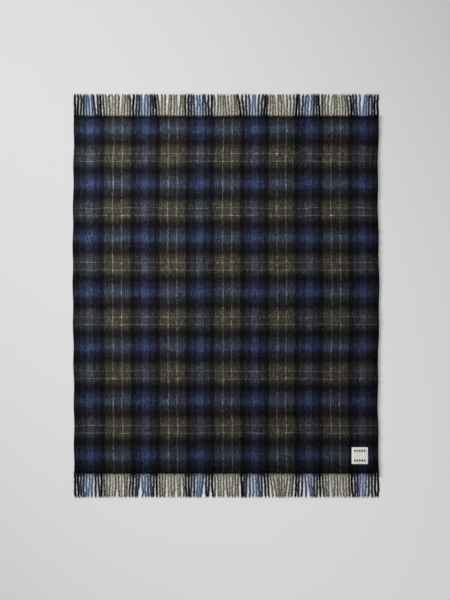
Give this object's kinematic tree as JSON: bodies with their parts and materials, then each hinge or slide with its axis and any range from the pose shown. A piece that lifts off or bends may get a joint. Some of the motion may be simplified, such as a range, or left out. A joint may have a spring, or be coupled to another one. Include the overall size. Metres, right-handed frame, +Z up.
{
  "type": "fringed plaid throw blanket",
  "caption": "Brushed wool plaid throw lying flat, with twisted fringes along both short ends and a small sewn label near one corner.",
  "frame": {"origin": "under the middle of the whole throw, fringes included, on the surface that it lies on", "axes": "+Z up, +Y along the warp, away from the end with the label, +X across the cloth, towards the selvedge with the label"},
  "size_m": [1.3078, 1.7136, 0.006],
  "materials": {
    "plaid_wool": "brushed wool tartan in blue, olive and black with fine light grey lines",
    "fringe_wool": "twisted brushed wool strands in the colours of the warp",
    "label_satin": "pale woven satin tape"
  },
  "bodies": {
    "root": {"cloth": "plaid_wool", "fringe_top": "fringe_wool", "fringe_bottom": "fringe_wool", "label": "label_satin"}
  },
  "joints": []
}
